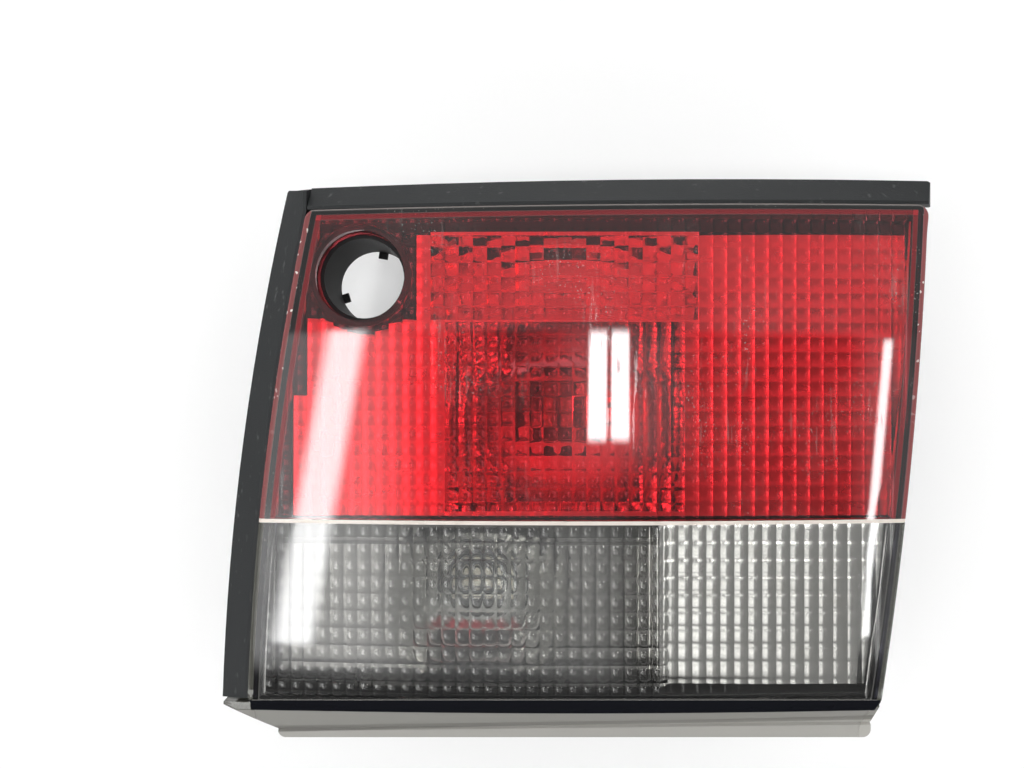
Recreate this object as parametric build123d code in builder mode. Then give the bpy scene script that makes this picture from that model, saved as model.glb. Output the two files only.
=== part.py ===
from build123d import *
import os
from math import radians, sqrt, tan

# Frame: X to the right across the lens, Y into the boot lid, Z up, in millimetres.
# The four studs seat on Y = 0, their pattern is centred on the origin, and every height
# named _h is measured from that plane towards the lens, along -Y.

# Lens outline, seen from the front
lens_top_z = 91.0
lens_top_rise = 2.5
lens_bottom_z = -92.0
lens_left_top_x = -103.5
lens_left_bottom_x = -126.0
lens_left_bow = 4.2
lens_right_top_x = 126.0
lens_right_bottom_x = 107.5
lens_right_bow = 2.8
lens_corner_radius = 4.0

# Lens section
face_h = 45.0
crown_radius = 1200.0
lens_wall = 3.0
lens_edge_radius = 2.0
skirt_wall = 2.4
flute_pitch = 5.1
flute_rise = 0.6
divider_z = -23.2
divider_width = 1.4

# Gaps: between pieces that slide together, and across a glue line
fit_gap = 0.3
glue_gap = 0.1

# Flange that carries the trims, and the trims' feet on it
flange_h = 30.0
flange_thick = 3.0
side_foot_top_x = -114.5
side_foot_bottom_x = -137.2
side_foot_bow = 4.3
side_trim_top_z = 99.9
side_trim_bottom_z = -90.8
top_foot_left_z = 100.8
top_foot_bow = 1.9
top_foot_right_z = 103.5
top_trim_right_x = 129.8
trim_edge = 1.2
trim_ridge = 1.2
trim_drop = 0.4
trim_corner_radius = 1.5
side_trim_end_angle = 14.0
top_trim_end_angle = 32.0

# Clear skirt below the lens: its slope ends in a groove, and a flange lip follows
skirt_lip_z = -106.3
skirt_lip_thick = 2.0
skirt_groove_left_z = -102.9
skirt_groove_right_z = -100.2
skirt_groove_width = 1.4
skirt_groove_depth = 0.9
skirt_left_x = -116.4
skirt_right_x = 107.4
skirt_corner_radius = 3.0

# Housing
rim_wall = 2.8
sealant_thick = 0.8
back_wall_h = 2.5
back_wall = 3.0
partition_wall = 2.0
partition_drop = 1.0
rib_width = 2.0
rib_height = 2.0

# Lock tube: lens collar in a cup, then the tube, then two small tabs at its far end
lock_side_margin = 0.9
lock_top_margin = 0.3
lock_hole_radius = 16.4
lock_collar_wall = 2.2
lock_bore_radius = 15.0
lock_tube_wall = 2.6
lock_cup_wall = 1.5
lock_cup_drop = 12.0
lock_cup_depth = 5.3
lock_tab_angles = (81, 197)
lock_tab_reach = 2.6
lock_tab_width = 3.7
lock_tab_thick = 1.5
lock_relief = 0.5

# Reflectors
reflector_wall = 1.6
bowl_wall = 2.2
land_gap = 0.6
fog_land_left_x = -108.7
fog_land_step_x = -103.5
fog_land_step_z = 23.0
fog_land_right_x = 118.3
fog_land_margin = 9.0
fog_well_left_x = -52.0
fog_well_right_x = 36.0
fog_well_top_z = 50.0
fog_focal = 20.0
fog_vertex_h = -8.0
ring_band_left_x = -57.0
ring_band_right_x = 40.0
ring_band_margin = 9.0
ring_pitch = 6.0
ring_rise = 4.0
reverse_axis_x = -41.3
reverse_focal = 12.0
reverse_vertex_h = -4.0
reverse_wall_left_x = -86.0
reverse_land_x = 27.0
reverse_ledge_drop = 11.0
reverse_land_margin = 7.5

# Bulbs, measured from the filament, and their quarter-turn holders
glass_radius = 12.5
glass_wall = 0.7
glass_neck_radius = 6.6
filament_span = 8.0
filament_radius = 0.6
filament_post_radius = 0.35
cap_radius = 7.5
cap_wall = 0.6
cap_rim_drop = 13.0
cap_length = 18.0
cap_pin_radius = 1.0
cap_pin_reach = 1.2
cap_pin_drop = 6.0
solder_radius = 2.5
solder_height = 1.0
socket_drop = 28.0
socket_bore_radius = 14.2
socket_wall = 3.6
pot_wall = 2.5
pot_gap = 0.5
seal_thick = 1.5
seal_width = 3.2
holder_flange_radius = 18.5
holder_flange_thick = 3.0
holder_front_drop = 1.0
connector_width = 20.0
connector_depth = 12.0
connector_length = 15.0
connector_wall = 1.6
grip_width = 3.0
grip_length = 8.0
blade_width = 6.3
blade_thick = 0.8
blade_spacing = 9.0
blade_end_gap = 4.0

# Mounting hardware
stud_spacing_x = 180.0
stud_spacing_z = 72.0
stud_radius = 3.0
stud_length = 18.0
stud_root = 8.0
stud_root_radius = 4.0
stud_boss_radius = 6.5
stud_boss_h = 10.5
stud_chamfer = 0.8
gasket_width = 6.0
gasket_inset = 0.8
gasket_thick = 3.0
lock_seal_width = 3.0
vent_x = 72.0
vent_z = 62.0
vent_bore_radius = 2.5
vent_wall = 2.0
vent_length = 8.0
vent_cap_wall = 1.6
vent_cap_skirt = 6.0

# Places that follow from the sizes above
rim_inset = skirt_wall + fit_gap
chamber_inset = rim_inset + rim_wall
reflector_inset = chamber_inset + fit_gap
lens_seat_h = flange_h + fit_gap
optic_depth = lens_wall + flute_rise
back_inside_h = back_wall_h + back_wall
partition_low_z = divider_z - partition_wall / 2
partition_high_z = divider_z + partition_wall / 2
fog_well_bottom_z = partition_high_z + fit_gap + reflector_wall
fog_axis = ((fog_well_left_x + fog_well_right_x) / 2, (fog_well_bottom_z + fog_well_top_z) / 2)
reverse_top_z = partition_low_z - fit_gap
reverse_bottom_z = lens_bottom_z + reflector_inset
reverse_axis = (reverse_axis_x, (reverse_top_z + reverse_bottom_z) / 2)
fog_filament_h = fog_vertex_h + fog_focal
reverse_filament_h = reverse_vertex_h + reverse_focal
lock_cup_floor_h = face_h - lock_cup_drop
lock_collar_radius = lock_hole_radius + lock_collar_wall
lock_z = lens_top_z - chamber_inset - lock_top_margin - lock_collar_radius
lock_cup_radius = lock_collar_radius + fit_gap
lock_seal_radius = lock_bore_radius + lock_tube_wall + fit_gap + lock_seal_width
ring_band_top_z = lens_top_z - ring_band_margin
top_trim_left_x = lens_left_top_x
reach = 2 * (lens_right_top_x - side_foot_bottom_x)


def front(height):
    """Plane that looks at the lens from the front, at a height above the seat plane."""
    return Plane.XZ.offset(height)


def turning(axis):
    """Plane through an axis square to the lens: local x is the radius and local y the height."""
    return Plane(origin=(axis[0], 0, axis[1]), x_dir=(1, 0, 0), z_dir=(0, 0, -1))


def axis_line(axis):
    """Axis square to the lens through a point of the front view."""
    return Axis((axis[0], 0, axis[1]), (0, -1, 0))


def crown_height(x, depth=0.0):
    """Height of the lens crown at x, at a depth below its outer face."""
    return face_h - crown_radius + sqrt((crown_radius - depth) ** 2 - x**2)


def bowed_edge(z, top, bottom, bow):
    """X of a side edge at a height z: a straight line between its ends, bowed outwards."""
    middle = (lens_top_z + lens_bottom_z) / 2
    share = (z - middle) / ((lens_top_z - lens_bottom_z) / 2)
    return (top + bottom) / 2 + (top - bottom) / 2 * share - bow * (1 - share**2)


def lens_left_edge(z):
    return bowed_edge(z, lens_left_top_x, lens_left_bottom_x, lens_left_bow)


def side_foot_edge(z):
    return bowed_edge(z, side_foot_top_x, side_foot_bottom_x, side_foot_bow)


lock_x = lens_left_edge(lock_z) + chamber_inset + lock_side_margin + lock_collar_radius
lens_half_width = max(lens_right_top_x, -lens_left_bottom_x)
land_h = crown_height(lens_half_width, optic_depth) - land_gap
partition_h = land_h - partition_drop
reverse_ledge_h = land_h - reverse_ledge_drop


def lens_top_edge(x):
    return lens_top_z + lens_top_rise * (x - lens_left_top_x) / (lens_right_top_x - lens_left_top_x)


def top_foot_edge(x):
    """Z of the top trim's outer foot at x, a line bowed upwards."""
    share = (x - top_trim_left_x) / (top_trim_right_x - top_trim_left_x)
    line = top_foot_left_z + (top_foot_right_z - top_foot_left_z) * share
    return line + top_foot_bow * 4 * share * (1 - share)


def skirt_groove_edge(x):
    share = (x - side_foot_bottom_x) / (skirt_right_x - side_foot_bottom_x)
    return skirt_groove_left_z + (skirt_groove_right_z - skirt_groove_left_z) * share


def lens_outline(inset=0.0, mode=Mode.ADD):
    """Draw the lens outline, drawn in by inset, into the open sketch."""
    middle_z = (lens_top_z + lens_bottom_z) / 2
    left_middle = ((lens_left_top_x + lens_left_bottom_x) / 2 - lens_left_bow, middle_z)
    right_middle = ((lens_right_top_x + lens_right_bottom_x) / 2 + lens_right_bow, middle_z)
    top_left = (lens_left_top_x, lens_top_z)
    top_right = (lens_right_top_x, lens_top_z + lens_top_rise)
    bottom_left = (lens_left_bottom_x, lens_bottom_z)
    bottom_right = (lens_right_bottom_x, lens_bottom_z)
    with BuildSketch(Plane.XY, mode=Mode.PRIVATE) as outline:
        with BuildLine():
            ThreePointArc(bottom_left, left_middle, top_left)
            Line(top_left, top_right)
            ThreePointArc(top_right, right_middle, bottom_right)
            Line(bottom_right, bottom_left)
        make_face()
        fillet(outline.vertices(), radius=lens_corner_radius)
        if inset:
            offset(amount=-inset, kind=Kind.INTERSECTION)
    add(outline.sketch, mode=mode)


def band(low_z, high_z, mode=Mode.INTERSECT):
    """Draw a level band across the whole width into the open sketch."""
    with Locations((0, (low_z + high_z) / 2)):
        Rectangle(reach, high_z - low_z, mode=mode)


def box_between(left, right, low, high, mode=Mode.ADD):
    """Draw a rectangle from its four sides into the open sketch."""
    with Locations(((left + right) / 2, (low + high) / 2)):
        Rectangle(right - left, high - low, mode=mode)


def lock_corner():
    """Cut the lens corner beyond the lock tube out of the open sketch."""
    box_between(-reach, lock_x, lock_z, reach, mode=Mode.SUBTRACT)


def crown_body(depth):
    """Everything behind the lens crown, lowered by depth, to trim pieces to it."""
    half = reach / 2
    with BuildPart() as body:
        with BuildSketch(Plane.XY):
            with BuildLine():
                ThreePointArc(
                    (-half, -crown_height(half, depth)),
                    (0, -crown_height(0, depth)),
                    (half, -crown_height(half, depth)),
                )
                Polyline(
                    (half, -crown_height(half, depth)),
                    (half, face_h + reach),
                    (-half, face_h + reach),
                    (-half, -crown_height(half, depth)),
                )
            make_face()
        extrude(amount=half, both=True)
    return body.part


def bowl_curve(vertex_h, focal, inner, outer):
    """Draw a parabola's arm from one radius to another into the open line, as height over radius."""
    start_h = vertex_h + inner**2 / (4 * focal)
    end_h = vertex_h + outer**2 / (4 * focal)
    control_h = start_h + inner / (2 * focal) * (outer - inner) / 2
    Bezier((inner, start_h), ((inner + outer) / 2, control_h), (outer, end_h))
    return start_h, end_h


def bowl_space(axis, vertex_h, focal, radius, top_h=None):
    """The space over a parabolic bowl, up to its edge at the given radius or on from there to top_h."""
    with BuildPart() as space:
        with BuildSketch(turning(axis)):
            with BuildLine():
                start_h, end_h = bowl_curve(vertex_h, focal, 0, radius)
                roof = [(radius, top_h), (0, top_h)] if top_h else [(0, end_h)]
                Polyline((radius, end_h), *roof, (0, start_h))
            make_face()
        revolve(axis=axis_line(axis))
    return space.part


def bowl_underside(axis, vertex_h, focal, radius, floor_h):
    """The space under a parabolic bowl's outer face, down to floor_h."""
    with BuildPart() as space:
        with BuildSketch(turning(axis)):
            with BuildLine():
                start_h, end_h = bowl_curve(vertex_h, focal, 0, radius)
                Polyline((radius, end_h), (radius, floor_h), (0, floor_h), (0, start_h))
            make_face()
        revolve(axis=axis_line(axis))
    return space.part


def finish(piece, name):
    """Label a finished piece and write its STEP file."""
    piece.part.label = name
    export_step(piece.part, f"parts/{name}.step")


os.makedirs("parts", exist_ok=True)

# Lens tray: the crowned front wall with its side walls, before it is parted by colour
crown_front = crown_body(0)
crown_collar = crown_body(lens_wall / 2)
flute_count = int(reach / flute_pitch / 2) * 2

with BuildPart() as lens_cavity:
    with BuildSketch(Plane.XY):
        valleys = [(number - flute_count / 2) * flute_pitch for number in range(flute_count + 1)]
        with BuildLine():
            for left, right in zip(valleys, valleys[1:]):
                middle = (left + right) / 2
                ThreePointArc(
                    (left, -crown_height(left, lens_wall)),
                    (middle, -crown_height(middle, optic_depth)),
                    (right, -crown_height(right, lens_wall)),
                )
            Polyline(
                (valleys[-1], -crown_height(valleys[-1], lens_wall)),
                (valleys[-1], 0),
                (valleys[0], 0),
                (valleys[0], -crown_height(valleys[0], lens_wall)),
            )
        make_face()
    extrude(amount=reach / 2, both=True)
    with BuildSketch(front(0)):
        lens_outline(skirt_wall)
        box_between(
            lens_left_bottom_x + skirt_wall + lens_corner_radius,
            lens_right_bottom_x - skirt_wall - lens_corner_radius,
            lens_bottom_z - lens_corner_radius,
            divider_z,
        )
    extrude(amount=face_h, mode=Mode.INTERSECT)

with BuildPart() as lens_tray:
    with BuildSketch(front(lens_seat_h)):
        lens_outline()
    extrude(amount=face_h)
    add(crown_front, mode=Mode.INTERSECT)
    crown_face = lens_tray.faces().sort_by(Axis.Y)[0]
    fillet(crown_face.edges(), radius=lens_edge_radius)
    add(lens_cavity.part, mode=Mode.SUBTRACT)

with BuildPart() as lock_collar:
    with BuildSketch(front(lock_cup_floor_h + fit_gap)):
        with Locations((lock_x, lock_z)):
            Circle(lock_collar_radius)
    extrude(amount=face_h)
    add(crown_collar, mode=Mode.INTERSECT)

with BuildPart() as lens_red:
    add(lens_tray.part)
    split(bisect_by=Plane.XY.offset(divider_z + divider_width / 2), keep=Keep.TOP)
    add(lock_collar.part)
    with BuildSketch(front(0)):
        with Locations((lock_x, lock_z)):
            Circle(lock_hole_radius)
    extrude(amount=reach, mode=Mode.SUBTRACT)
finish(lens_red, "lens_red")

with BuildPart() as lens_divider:
    add(lens_tray.part)
    split(bisect_by=Plane.XY.offset(divider_z + divider_width / 2), keep=Keep.BOTTOM)
    split(bisect_by=Plane.XY.offset(divider_z - divider_width / 2), keep=Keep.TOP)
finish(lens_divider, "lens_divider")

# Clear skirt: a sloped wall from the lens's lower edge to a groove and a flange lip
with BuildPart() as skirt:
    skirt_sections = [
        side_foot_bottom_x + (skirt_right_x - side_foot_bottom_x) * share / 4 for share in range(5)
    ]
    for x in skirt_sections:
        edge_h = crown_height(x) - lens_edge_radius
        groove = skirt_groove_edge(x)
        lip_h = flange_h + skirt_lip_thick / 2
        with BuildSketch(Plane.YZ.offset(x)):
            with BuildLine():
                Polyline(
                    (-edge_h, lens_bottom_z),
                    (-lip_h, groove),
                    (-lip_h + skirt_groove_depth, groove - skirt_groove_width / 2),
                    (-lip_h, groove - skirt_groove_width),
                    (-lip_h, skirt_lip_z),
                    (-lip_h + skirt_lip_thick, skirt_lip_z),
                    (-lip_h + skirt_lip_thick, groove + skirt_wall / 2),
                    (-edge_h + skirt_wall + lens_edge_radius, lens_bottom_z + skirt_wall / 2),
                    (-edge_h + lens_edge_radius / 4, lens_bottom_z + skirt_wall),
                    close=True,
                )
            make_face()
    loft()
    with BuildSketch(front(0)) as skirt_outline:
        with BuildLine():
            Polyline(
                (lens_left_bottom_x + lens_corner_radius, lens_bottom_z + skirt_wall),
                (lens_left_bottom_x, side_trim_bottom_z - fit_gap),
                (side_foot_bottom_x, side_trim_bottom_z - fit_gap),
                (skirt_left_x, skirt_groove_left_z),
                (skirt_left_x, skirt_lip_z),
                (skirt_right_x, skirt_lip_z),
                (skirt_right_x, lens_bottom_z + skirt_wall),
                close=True,
            )
        make_face()
        fillet(skirt_outline.vertices().group_by(Axis.Y)[0], radius=skirt_corner_radius)
    extrude(amount=face_h, mode=Mode.INTERSECT)

with BuildPart() as lens_clear:
    add(lens_tray.part)
    split(bisect_by=Plane.XY.offset(divider_z - divider_width / 2), keep=Keep.BOTTOM)
    add(skirt.part)
finish(lens_clear, "lens_clear")


# Trims: sloped strips from the lens edge down to the flange
def side_trim_points(z):
    """Corners of the side trim's section at a height z: foot, upright edge, slope and ridge."""
    inner_x = min(lens_left_edge(z), top_trim_left_x) - fit_gap
    ridge_h = crown_height(inner_x) - lens_edge_radius - trim_drop
    return [
        (inner_x, -flange_h),
        (side_foot_edge(z), -flange_h),
        (side_foot_edge(z), -flange_h - trim_edge),
        (inner_x - trim_ridge, -ridge_h),
        (inner_x, -ridge_h),
    ]


def end_lean(angle):
    """How far a trim's end leans inwards from its upright edge up to the crown's height."""
    return (face_h - flange_h - trim_edge) * tan(radians(angle))


side_trim_lean = end_lean(side_trim_end_angle)
side_trim_reach = lens_top_z - side_trim_bottom_z
beside_lens = [side_trim_bottom_z + side_trim_reach * share / 4 for share in range(5)]
above_lens = [lens_top_z, side_trim_top_z]

with BuildPart() as side_trim:
    for heights in (beside_lens, above_lens):
        for z in heights:
            with BuildSketch(Plane.XY.offset(z)):
                with BuildLine():
                    Polyline(*side_trim_points(z), close=True)
                make_face()
        loft()
    with BuildSketch(Plane.YZ):
        with BuildLine():
            Polyline(
                (-flange_h, side_trim_bottom_z),
                (-flange_h - trim_edge, side_trim_bottom_z),
                (-face_h, side_trim_bottom_z + side_trim_lean),
                (-face_h, side_trim_top_z - side_trim_lean),
                (-flange_h - trim_edge, side_trim_top_z),
                (-flange_h, side_trim_top_z),
                close=True,
            )
        make_face()
    extrude(amount=reach, both=True, mode=Mode.INTERSECT)
    upright_edges = side_trim.edges().filter_by(Axis.Y).group_by(Axis.X)
    fillet(upright_edges[0] + upright_edges[-2], radius=trim_corner_radius)
finish(side_trim, "side_trim")

with BuildPart() as top_trim:
    trim_length = top_trim_right_x - top_trim_left_x
    for share in range(5):
        x = top_trim_left_x + trim_length * share / 4
        inner_z = lens_top_edge(x) + fit_gap
        ridge_h = crown_height(x) - lens_edge_radius - trim_drop
        with BuildSketch(Plane.YZ.offset(x)):
            with BuildLine():
                Polyline(
                    (-flange_h, inner_z),
                    (-flange_h, top_foot_edge(x)),
                    (-flange_h - trim_edge, top_foot_edge(x)),
                    (-ridge_h, inner_z + trim_ridge),
                    (-ridge_h, inner_z),
                    close=True,
                )
            make_face()
    loft()
    with BuildSketch(Plane.XY):
        with BuildLine():
            Polyline(
                (top_trim_left_x, -flange_h),
                (top_trim_right_x, -flange_h),
                (top_trim_right_x, -flange_h - trim_edge),
                (top_trim_right_x - end_lean(top_trim_end_angle), -face_h),
                (top_trim_left_x, -face_h),
                close=True,
            )
        make_face()
    extrude(amount=reach, mode=Mode.INTERSECT)
    end_edges = top_trim.edges().filter_by_position(
        Axis.X, top_trim_right_x - fit_gap, top_trim_right_x + fit_gap
    )
    fillet(end_edges.sort_by(Axis.Z)[-1], radius=trim_corner_radius)
finish(top_trim, "top_trim")

# Sealant bead between the rim's front edge and the lens
crown_bead_front = crown_body(optic_depth + glue_gap)
crown_bead_back = crown_body(optic_depth + glue_gap + sealant_thick)
crown_rim = crown_body(optic_depth + 2 * glue_gap + sealant_thick)

with BuildPart() as lens_sealant:
    with BuildSketch(front(flange_h)):
        lens_outline(rim_inset)
        lens_outline(chamber_inset, mode=Mode.SUBTRACT)
    extrude(amount=face_h)
    add(crown_bead_front, mode=Mode.INTERSECT)
    add(crown_bead_back, mode=Mode.SUBTRACT)
finish(lens_sealant, "lens_sealant")

# Housing
lamps = [
    (fog_axis, fog_vertex_h, fog_focal, fog_filament_h),
    (reverse_axis, reverse_vertex_h, reverse_focal, reverse_filament_h),
]
stud_places = [
    (x * stud_spacing_x / 2, z * stud_spacing_z / 2) for x in (-1, 1) for z in (-1, 1)
]


def pot_radius(vertex_h, focal):
    """Inner radius of the pot that a bowl needs where it passes through the back wall."""
    return sqrt(4 * focal * (back_inside_h - vertex_h + bowl_wall)) + pot_gap


with BuildPart() as housing:
    with BuildSketch(front(back_wall_h)):
        lens_outline(rim_inset)
    extrude(amount=face_h)
    with BuildSketch(front(flange_h - flange_thick)):
        with BuildLine():
            foot_low = (side_foot_edge(side_trim_bottom_z), side_trim_bottom_z)
            foot_middle = (side_foot_edge(0), 0)
            foot_high = (side_foot_edge(side_trim_top_z), side_trim_top_z)
            brow_left = (top_trim_left_x, top_foot_left_z)
            brow_middle_x = (top_trim_left_x + top_trim_right_x) / 2
            brow_right = (top_trim_right_x, top_foot_right_z)
            ThreePointArc(foot_low, foot_middle, foot_high)
            Line(foot_high, brow_left)
            ThreePointArc(brow_left, (brow_middle_x, top_foot_edge(brow_middle_x)), brow_right)
            Polyline(
                brow_right,
                (lens_right_top_x - rim_inset, lens_top_z - rim_inset),
                (0, lens_bottom_z + chamber_inset),
                (lens_left_bottom_x + chamber_inset, lens_bottom_z + chamber_inset),
                foot_low,
            )
        make_face()
        fillet(vertices().sort_by(Axis.Y)[-1], radius=trim_corner_radius)
    extrude(amount=flange_thick)
    with BuildSketch(front(flange_h - flange_thick)):
        lens_outline()
        band(lens_bottom_z + chamber_inset, reach)
    extrude(amount=flange_thick)
    with BuildSketch(front(back_inside_h)):
        lens_outline(chamber_inset)
    extrude(amount=face_h, mode=Mode.SUBTRACT)
    with BuildSketch(front(back_wall_h)):
        lens_outline(rim_inset + rim_wall / 2)
        band(partition_low_z, partition_high_z)
    extrude(amount=partition_h - back_wall_h)
    with BuildSketch(front(back_wall_h - rib_height)):
        for z in (-stud_spacing_z / 2, stud_spacing_z / 2):
            with Locations((0, z)):
                Rectangle(stud_spacing_x, rib_width)
        for x in (-stud_spacing_x / 2, stud_spacing_x / 2):
            with Locations((x, 0)):
                Rectangle(rib_width, stud_spacing_z)
    extrude(amount=rib_height)
    for axis, vertex_h, focal, filament_h in lamps:
        pot_floor_h = vertex_h - bowl_wall - pot_gap
        with BuildSketch(front(pot_floor_h - pot_wall)):
            with Locations(axis):
                Circle(pot_radius(vertex_h, focal) + pot_wall)
        extrude(amount=back_inside_h - pot_floor_h + pot_wall)
        with BuildSketch(front(filament_h - socket_drop)):
            with Locations(axis):
                Circle(socket_bore_radius + socket_wall)
        extrude(amount=pot_floor_h - filament_h + socket_drop)
    for axis, vertex_h, focal, filament_h in lamps:
        pot_floor_h = vertex_h - bowl_wall - pot_gap
        with BuildSketch(front(pot_floor_h)):
            with Locations(axis):
                Circle(pot_radius(vertex_h, focal))
        extrude(amount=back_inside_h - pot_floor_h, mode=Mode.SUBTRACT)
        with BuildSketch(front(filament_h - socket_drop)):
            with Locations(axis):
                Circle(socket_bore_radius)
        extrude(amount=socket_drop, mode=Mode.SUBTRACT)
    with BuildSketch(front(0)):
        with Locations(stud_places):
            Circle(stud_boss_radius)
    extrude(amount=stud_boss_h)
    with BuildSketch(front(0)):
        with Locations(stud_places):
            Circle(stud_root_radius + glue_gap)
    extrude(amount=stud_root, mode=Mode.SUBTRACT)
    with BuildSketch(front(back_wall_h - vent_length)):
        with Locations((vent_x, vent_z)):
            Circle(vent_bore_radius + vent_wall)
    extrude(amount=vent_length)
    with BuildSketch(front(back_wall_h - vent_length)):
        with Locations((vent_x, vent_z)):
            Circle(vent_bore_radius)
    extrude(amount=vent_length + back_wall, mode=Mode.SUBTRACT)
    with BuildSketch(front(0)):
        with Locations((lock_x, lock_z)):
            Circle(lock_bore_radius + lock_tube_wall)
    extrude(amount=lock_cup_floor_h)
    with BuildSketch(front(lock_cup_floor_h - lock_tube_wall)):
        with Locations((lock_x, lock_z)):
            Circle(lock_cup_radius + lock_cup_wall)
    extrude(amount=lock_tube_wall + lock_cup_depth)
    add(crown_rim, mode=Mode.INTERSECT)
    with BuildSketch(front(lock_cup_floor_h)):
        with Locations((lock_x, lock_z)):
            Circle(lock_cup_radius)
    extrude(amount=face_h, mode=Mode.SUBTRACT)
    with BuildSketch(front(0)):
        with Locations((lock_x, lock_z)):
            Circle(lock_bore_radius)
    extrude(amount=face_h, mode=Mode.SUBTRACT)
    with BuildSketch(front(0)):
        with Locations((lock_x, lock_z)):
            Circle(lock_bore_radius + lock_relief)
    extrude(amount=lock_tab_thick + lock_relief, mode=Mode.SUBTRACT)
    with BuildSketch(front(0)):
        with Locations((lock_x, lock_z)):
            for angle in lock_tab_angles:
                with PolarLocations(lock_bore_radius, 1, start_angle=angle):
                    Rectangle(2 * lock_tab_reach, lock_tab_width)
    extrude(amount=lock_tab_thick)
finish(housing, "housing")

# Fog reflector: flat lands, ring facets above, and a rectangular well with a parabolic floor
fog_reach = sqrt((fog_well_right_x - fog_well_left_x) ** 2 + (fog_well_top_z - fog_well_bottom_z) ** 2) / 2
fog_space = bowl_space(fog_axis, fog_vertex_h, fog_focal, fog_reach + bowl_wall, face_h)
fog_below = bowl_underside(
    fog_axis, fog_vertex_h - bowl_wall, fog_focal, fog_reach + 2 * bowl_wall, fog_vertex_h - face_h
)

with BuildPart() as fog_well:
    add(fog_space)
    with BuildSketch(front(fog_vertex_h)):
        box_between(fog_well_left_x, fog_well_right_x, fog_well_bottom_z, fog_well_top_z)
    extrude(amount=2 * face_h, mode=Mode.INTERSECT)

with BuildPart() as ring_facets:
    ring_inner = fog_well_top_z - fog_axis[1]
    ring_count = int((ring_band_top_z - fog_well_top_z) / ring_pitch * 2)
    with BuildSketch(turning(fog_axis)):
        with BuildLine():
            steps = [(ring_inner, face_h)]
            for number in range(ring_count):
                steps.append((ring_inner + number * ring_pitch, land_h - ring_rise))
                steps.append((ring_inner + (number + 1) * ring_pitch, land_h))
            steps.append((ring_inner + ring_count * ring_pitch, face_h))
            Polyline(*steps, close=True)
        make_face()
    revolve(axis=axis_line(fog_axis))
    with BuildSketch(front(0)):
        box_between(
            ring_band_left_x,
            ring_band_right_x,
            fog_well_top_z + reflector_wall,
            ring_band_top_z,
        )
    extrude(amount=face_h, mode=Mode.INTERSECT)

with BuildPart() as fog_reflector:
    with BuildSketch(front(fog_vertex_h - bowl_wall)):
        box_between(
            fog_well_left_x - reflector_wall,
            fog_well_right_x + reflector_wall,
            fog_well_bottom_z - reflector_wall,
            fog_well_top_z + reflector_wall,
        )
    extrude(amount=land_h - fog_vertex_h + bowl_wall)
    add(fog_below, mode=Mode.SUBTRACT)
    with BuildSketch(front(land_h - reflector_wall)):
        lens_outline(reflector_inset)
        box_between(
            fog_land_left_x,
            fog_land_right_x,
            partition_high_z + fit_gap,
            lens_top_z - fog_land_margin,
            mode=Mode.INTERSECT,
        )
        box_between(-reach, fog_land_step_x, fog_land_step_z, reach, mode=Mode.SUBTRACT)
        box_between(
            -reach, lock_x + lock_cup_radius, lock_z - lock_bore_radius, reach, mode=Mode.SUBTRACT
        )
    extrude(amount=reflector_wall)
    with BuildSketch(front(land_h - ring_rise - reflector_wall)):
        box_between(
            ring_band_left_x - reflector_wall,
            ring_band_right_x + reflector_wall,
            fog_well_top_z,
            ring_band_top_z + reflector_wall,
        )
    extrude(amount=ring_rise + reflector_wall)
    add(fog_well.part, mode=Mode.SUBTRACT)
    add(ring_facets.part, mode=Mode.SUBTRACT)
    with BuildSketch(front(fog_vertex_h - bowl_wall)):
        with Locations(fog_axis):
            Circle(socket_bore_radius)
    extrude(amount=face_h, mode=Mode.SUBTRACT)
    with BuildSketch(front(0)):
        with Locations((lock_x, lock_z)):
            Circle(lock_cup_radius + lock_cup_wall + fit_gap)
    extrude(amount=face_h, mode=Mode.SUBTRACT)
finish(fog_reflector, "fog_reflector")

# Reverse reflector: a parabolic bowl in a ledge, walls above and below it, and a raised land on the right
reverse_skin_radius = sqrt(
    4 * reverse_focal * (reverse_ledge_h - reflector_wall - reverse_vertex_h + bowl_wall)
)
reverse_reach = sqrt(4 * reverse_focal * (reverse_ledge_h - reverse_vertex_h))
reverse_space = bowl_space(reverse_axis, reverse_vertex_h, reverse_focal, reverse_reach)
reverse_below = bowl_underside(
    reverse_axis,
    reverse_vertex_h - bowl_wall,
    reverse_focal,
    reverse_skin_radius,
    reverse_vertex_h - face_h,
)

with BuildPart() as reverse_well:
    add(reverse_space)
    with BuildSketch(front(reverse_ledge_h)):
        box_between(-reach, reverse_land_x, reverse_bottom_z, reverse_top_z)
    extrude(amount=face_h)
    with BuildSketch(front(reverse_vertex_h)):
        box_between(-reach, reach, reverse_bottom_z + reflector_wall, reverse_top_z - reflector_wall)
    extrude(amount=2 * face_h, mode=Mode.INTERSECT)

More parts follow.
